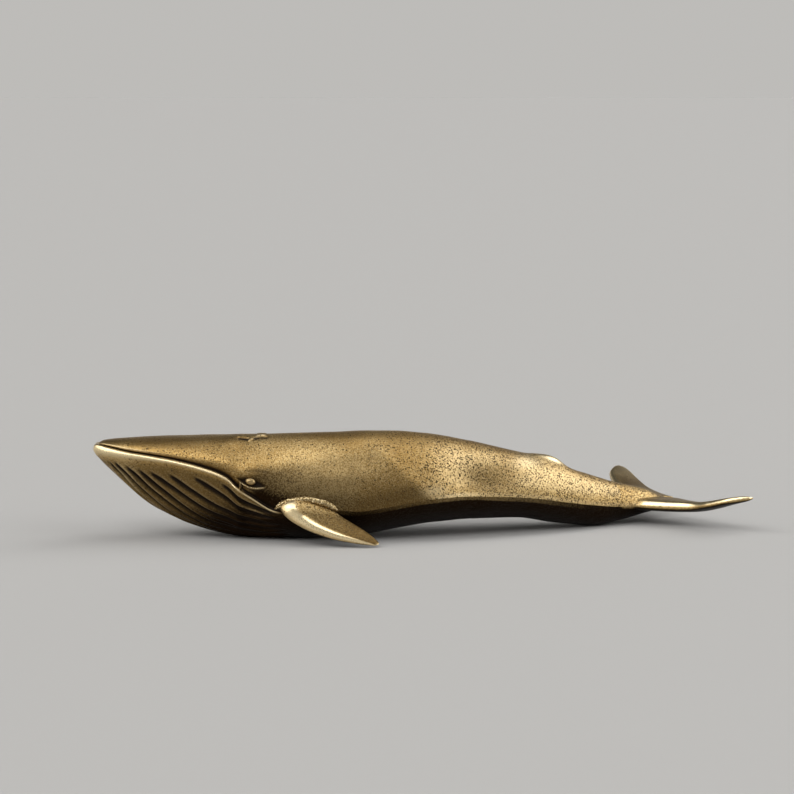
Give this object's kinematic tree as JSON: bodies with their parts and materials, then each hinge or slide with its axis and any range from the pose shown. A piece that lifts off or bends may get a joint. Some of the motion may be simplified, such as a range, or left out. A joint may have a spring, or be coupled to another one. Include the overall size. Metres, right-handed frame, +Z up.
{
  "type": "whale figurine",
  "caption": "Small brass whale figurine lying on its throat with a pleated jaw, swept flippers and a curled tail fluke.",
  "frame": {"origin": "middle of the footprint, at the height of the table that the whale lies on", "axes": "+Z up; -X towards the snout and +X towards the tail; the tail curls to +Y; the whale's left side faces -Y"},
  "size_m": [0.1222, 0.0548, 0.0195],
  "materials": {
    "body_brass": "satin antique brass with casting pits and dark patina in the grooves",
    "fin_brass": "satin antique brass, polished bright along the edges",
    "eye_brass": "polished brass bead with dark patina round it",
    "braze_filler": "rough bright brazing filler",
    "plug_brass": "filed flush brass plug"
  },
  "bodies": {
    "root": {"back_casting": "body_brass", "belly_casting": "body_brass", "left_flipper": "fin_brass", "right_flipper": "fin_brass", "tail_fluke": "fin_brass", "left_eye": "eye_brass", "right_eye": "eye_brass", "left_braze": "braze_filler", "right_braze": "braze_filler", "vent_plug": "plug_brass"}
  },
  "joints": []
}
